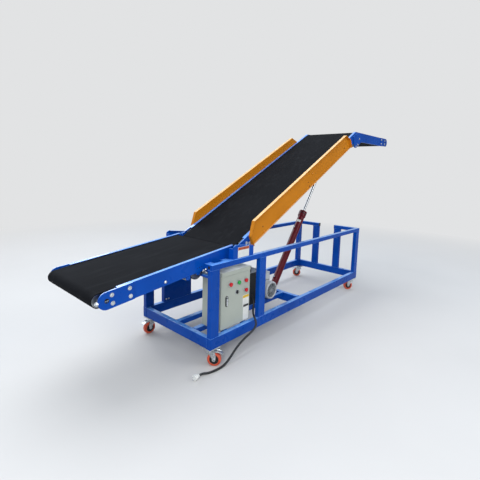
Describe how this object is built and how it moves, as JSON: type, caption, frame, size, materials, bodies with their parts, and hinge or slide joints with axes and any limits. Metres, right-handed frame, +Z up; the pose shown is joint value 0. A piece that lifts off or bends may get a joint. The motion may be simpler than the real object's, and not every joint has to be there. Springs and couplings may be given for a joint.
{
  "type": "mobile belt conveyor",
  "caption": "Mobile belt conveyor: fixed infeed belt, hydraulic boom belt with a level discharge head and side guards, tube chassis on casters, control box and mains cord.",
  "frame": {"origin": "centre of the bounding box on the floor, without the cord and plug", "axes": "+X from the low infeed end to the high discharge end, +Z up, control box on the -Y side"},
  "size_m": [4.0996, 0.9047, 1.854],
  "materials": {
    "frame_blue": "semi-gloss enamel on steel tube and folded sheet",
    "guard_orange": "semi-gloss orange-yellow enamel on folded sheet",
    "belt_black": "matt rough-top belt",
    "roller_steel": "turned steel",
    "bed_steel": "cold-rolled sheet",
    "box_grey": "light grey powder coat",
    "pack_black": "satin black paint",
    "cast_aluminium": "cast and machined",
    "barrel_red": "dark red gloss enamel",
    "rod_chrome": "hard chrome",
    "zinc": "bright zinc plate",
    "tread_orange": "cast polyurethane",
    "black_plastic": "moulded",
    "button_red": "moulded",
    "button_green": "moulded",
    "cord_rubber": "matt cable jacket",
    "plug_white": "moulded"
  },
  "bodies": {
    "chassis": {"bottom_side_rails": "frame_blue", "cross_rails": "frame_blue", "sub_frame_rails": "frame_blue", "box_supports": "frame_blue", "posts": "frame_blue", "upper_side_rails": "frame_blue", "rear_top_rails": "frame_blue", "rail_end_caps": "black_plastic", "power_pack_shelf": "frame_blue", "caster_plates": "zinc", "hinge_stands": "frame_blue", "infeed_side_frames": "frame_blue", "infeed_tail_plates": "frame_blue", "infeed_bed": "bed_steel", "infeed_belt": "belt_black", "infeed_rollers": "roller_steel", "infeed_brackets": "frame_blue", "control_box": "box_grey", "motor": "pack_black", "fan_cover": "cast_aluminium", "pump_block": "cast_aluminium", "oil_tank": "pack_black", "far_panel": "box_grey", "cylinder_base": "frame_blue", "mains_cord": "cord_rubber", "mains_plug": "plug_white", "cord_gland": "black_plastic"},
    "door": {"control_door": "box_grey", "door_lock": "zinc", "stop_buttons": "button_red", "start_button": "button_green", "selector_switch": "black_plastic"},
    "boom": {"boom_side_frames": "frame_blue", "boom_head_frames": "frame_blue", "boom_end_plates": "frame_blue", "elbow_plates": "frame_blue", "boom_bed": "bed_steel", "boom_belt": "belt_black", "boom_rollers": "roller_steel", "pivot_pins": "zinc", "cylinder_hanger": "frame_blue", "side_guards": "guard_orange"},
    "barrel": {"cylinder_barrel": "barrel_red"},
    "rod": {"cylinder_rod": "rod_chrome"},
    "swivel_front_near": {"fork_front_near": "zinc", "brake_front_near": "zinc"},
    "wheel_front_near": {"tread_front_near": "tread_orange", "hub_front_near": "black_plastic"},
    "swivel_front_far": {"fork_front_far": "zinc", "brake_front_far": "zinc"},
    "wheel_front_far": {"tread_front_far": "tread_orange", "hub_front_far": "black_plastic"},
    "swivel_rear_near": {"fork_rear_near": "zinc", "brake_rear_near": "zinc"},
    "wheel_rear_near": {"tread_rear_near": "tread_orange", "hub_rear_near": "black_plastic"},
    "swivel_rear_far": {"fork_rear_far": "zinc", "brake_rear_far": "zinc"},
    "wheel_rear_far": {"tread_rear_far": "tread_orange", "hub_rear_far": "black_plastic"}
  },
  "joints": [
    {"name": "boom_lift", "type": "hinge", "parent": "chassis", "child": "boom", "pos_m": [-0.89851, 0, 0.786], "axis": [0, -1, 0], "range_deg": [-27, 4]},
    {"name": "barrel_swing", "type": "hinge", "parent": "chassis", "child": "barrel", "pos_m": [-0.02151, 0, 0.176], "axis": [0, -1, 0], "range_deg": [-32.7, 5.3]},
    {"name": "rod_slide", "type": "slide", "parent": "barrel", "child": "rod", "axis": [0.5749, 0, 0.8182], "range_m": [-0.486, 0.074]},
    {"name": "door_hinge", "type": "hinge", "parent": "chassis", "child": "door", "pos_m": [-0.83951, -0.37, 0.4255], "axis": [0, 0, 1], "range_deg": [0, 90]},
    {"name": "swivel_front_near", "type": "hinge", "parent": "chassis", "child": "swivel_front_near", "pos_m": [-1.23151, -0.36, 0.132], "axis": [0, 0, 1], "continuous": true},
    {"name": "roll_front_near", "type": "hinge", "parent": "swivel_front_near", "child": "wheel_front_near", "pos_m": [-1.21545, -0.38294, 0.05], "axis": [0.8192, 0.5736, 0], "continuous": true},
    {"name": "swivel_front_far", "type": "hinge", "parent": "chassis", "child": "swivel_front_far", "pos_m": [-1.23151, 0.36, 0.132], "axis": [0, 0, 1], "continuous": true},
    {"name": "roll_front_far", "type": "hinge", "parent": "swivel_front_far", "child": "wheel_front_far", "pos_m": [-1.25951, 0.36, 0.05], "axis": [0, -1, 0], "continuous": true},
    {"name": "swivel_rear_near", "type": "hinge", "parent": "chassis", "child": "swivel_rear_near", "pos_m": [1.06849, -0.36, 0.132], "axis": [0, 0, 1], "continuous": true},
    {"name": "roll_rear_near", "type": "hinge", "parent": "swivel_rear_near", "child": "wheel_rear_near", "pos_m": [1.04705, -0.342, 0.05], "axis": [-0.6428, -0.766, 0], "continuous": true},
    {"name": "swivel_rear_far", "type": "hinge", "parent": "chassis", "child": "swivel_rear_far", "pos_m": [1.06849, 0.36, 0.132], "axis": [0, 0, 1], "continuous": true},
    {"name": "roll_rear_far", "type": "hinge", "parent": "swivel_rear_far", "child": "wheel_rear_far", "pos_m": [1.05243, 0.38294, 0.05], "axis": [-0.8192, -0.5736, 0], "continuous": true}
  ],
  "couplings": [
    {"joint": "barrel_swing", "follows": "boom_lift", "ratio": 1.192},
    {"joint": "rod_slide", "follows": "boom_lift", "m_per_rad": 1.028}
  ]
}
